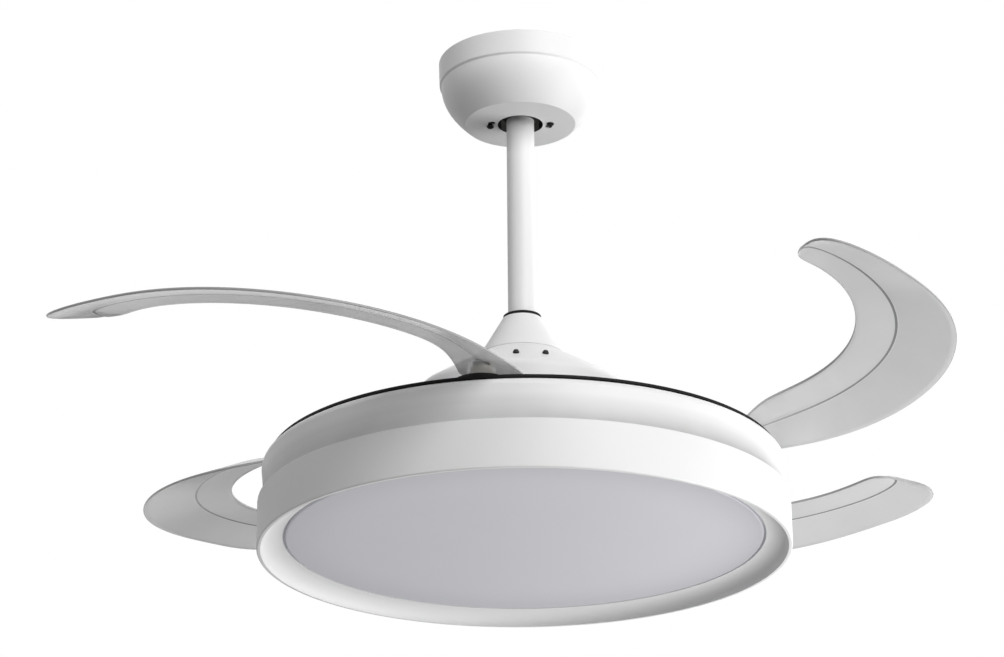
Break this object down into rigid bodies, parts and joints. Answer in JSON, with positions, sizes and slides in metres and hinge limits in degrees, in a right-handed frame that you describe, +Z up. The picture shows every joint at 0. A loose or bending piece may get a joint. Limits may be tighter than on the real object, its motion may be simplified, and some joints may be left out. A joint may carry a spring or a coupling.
{
  "type": "retractable blade ceiling fan",
  "caption": "Ceiling fan on a short rod, with curved see-through blades that fold back over the motor and a round lamp with an opal diffuser beneath.",
  "frame": {"origin": "centre of the hanger bracket's top face, on the ceiling", "axes": "+Z up into the ceiling, along the rod; +X along the bracket's two slots; -Y is the side that the picture shows"},
  "size_m": [0.8386, 0.8386, 0.504],
  "materials": {
    "zinc_steel": "zinc-plated pressed steel, slightly dull",
    "white_paint": "satin white powder coat",
    "white_plastic": "satin white moulded ABS",
    "white_ring": "satin white moulded ABS with a very faint lilac cast",
    "white_aluminium": "white-coated sheet",
    "black_screw": "black-oxide screw head",
    "black_rubber": "matt black rubber",
    "black_plate": "satin black coated plate",
    "black_plastic": "black filled nylon",
    "ivory_plastic": "natural acetal",
    "dark_steel": "dark oxide steel",
    "bearing_steel": "ground ring with steel shields",
    "spring_steel": "spring wire",
    "cast_aluminium": "die-cast, machined on its seats",
    "core_steel": "stacked sheet-steel laminations",
    "copper_wire": "enamelled copper wire",
    "smoke_blade": "clear smoke-grey polycarbonate",
    "driver_case": "light grey driver case",
    "green_board": "green circuit board with dark parts",
    "led_yellow": "phosphor cap",
    "opal_acrylic": "opal white acrylic"
  },
  "bodies": {
    "ceiling_mount": {"hanger_bracket": "dark_steel", "canopy": "white_paint", "canopy_screws": "black_screw", "terminal_block": "ivory_plastic"},
    "hanging_unit": {"hanger_ball": "dark_steel", "downrod": "white_paint", "ball_pin": "zinc_steel", "ball_set_screw": "dark_steel", "rod_gasket": "black_rubber", "bell_cover": "white_plastic", "shaft_coupler": "zinc_steel", "coupler_pin": "zinc_steel", "pin_clip": "zinc_steel", "coupler_screws": "dark_steel", "motor_shaft": "zinc_steel", "stator_hub": "cast_aluminium", "stator_core": "core_steel", "stator_windings": "copper_wire", "lamp_shell": "white_plastic", "shaft_nuts": "zinc_steel", "led_driver": "driver_case", "motor_controller": "green_board", "led_tray": "white_aluminium", "tray_screws": "zinc_steel", "led_board": "white_aluminium", "led_chips": "led_yellow", "light_ring": "white_ring", "ring_screws": "zinc_steel", "ring_clips": "spring_steel", "diffuser": "opal_acrylic"},
    "rotor": {"hub_cover": "white_plastic", "hub_cover_screws": "black_screw", "motor_case_top": "cast_aluminium", "motor_case_bottom": "cast_aluminium", "motor_magnets": "dark_steel", "case_screws": "dark_steel", "upper_bearing": "bearing_steel", "lower_bearing": "bearing_steel", "rotor_plate": "black_plate", "plate_screws": "dark_steel", "pivot_bushes": "black_plastic", "plate_posts": "zinc_steel", "return_springs": "spring_steel", "gear_guide": "ivory_plastic", "gear_retainer": "zinc_steel", "guide_screws": "dark_steel"},
    "sync_gear": {"sync_gear": "ivory_plastic"},
    "blade_1": {"blade_1": "smoke_blade", "blade_gear_1": "ivory_plastic", "blade_screw_1": "dark_steel"},
    "blade_2": {"blade_2": "smoke_blade", "blade_gear_2": "ivory_plastic", "blade_screw_2": "dark_steel"},
    "blade_3": {"blade_3": "smoke_blade", "blade_gear_3": "ivory_plastic", "blade_screw_3": "dark_steel"},
    "blade_4": {"blade_4": "smoke_blade", "blade_gear_4": "ivory_plastic", "blade_screw_4": "dark_steel"}
  },
  "joints": [
    {"name": "hanger_swing", "type": "hinge", "parent": "ceiling_mount", "child": "hanging_unit", "pos_m": [0, 0, -0.044], "axis": [1, 0, 0], "range_deg": [-10, 10]},
    {"name": "rotor_spin", "type": "hinge", "parent": "hanging_unit", "child": "rotor", "pos_m": [0, 0, -0.4145], "axis": [0, 0, 1], "continuous": true},
    {"name": "blade_1_fold", "type": "hinge", "parent": "rotor", "child": "blade_1", "pos_m": [0.21062, -0.0379, -0.4145], "axis": [0, 0, 1], "range_deg": [-88, 0]},
    {"name": "blade_2_fold", "type": "hinge", "parent": "rotor", "child": "blade_2", "pos_m": [0.0379, 0.21062, -0.4145], "axis": [0, 0, 1], "range_deg": [-88, 0]},
    {"name": "blade_3_fold", "type": "hinge", "parent": "rotor", "child": "blade_3", "pos_m": [-0.21062, 0.0379, -0.4145], "axis": [0, 0, 1], "range_deg": [-88, 0]},
    {"name": "blade_4_fold", "type": "hinge", "parent": "rotor", "child": "blade_4", "pos_m": [-0.0379, -0.21062, -0.4145], "axis": [0, 0, 1], "range_deg": [-88, 0]},
    {"name": "sync_turn", "type": "hinge", "parent": "rotor", "child": "sync_gear", "pos_m": [0, 0, -0.4145], "axis": [0, 0, 1], "range_deg": [-0.1, 11.2]}
  ],
  "couplings": [
    {"joint": "blade_2_fold", "follows": "blade_1_fold", "ratio": 1},
    {"joint": "blade_3_fold", "follows": "blade_1_fold", "ratio": 1},
    {"joint": "blade_4_fold", "follows": "blade_1_fold", "ratio": 1},
    {"joint": "sync_turn", "follows": "blade_1_fold", "ratio": -0.12632}
  ]
}
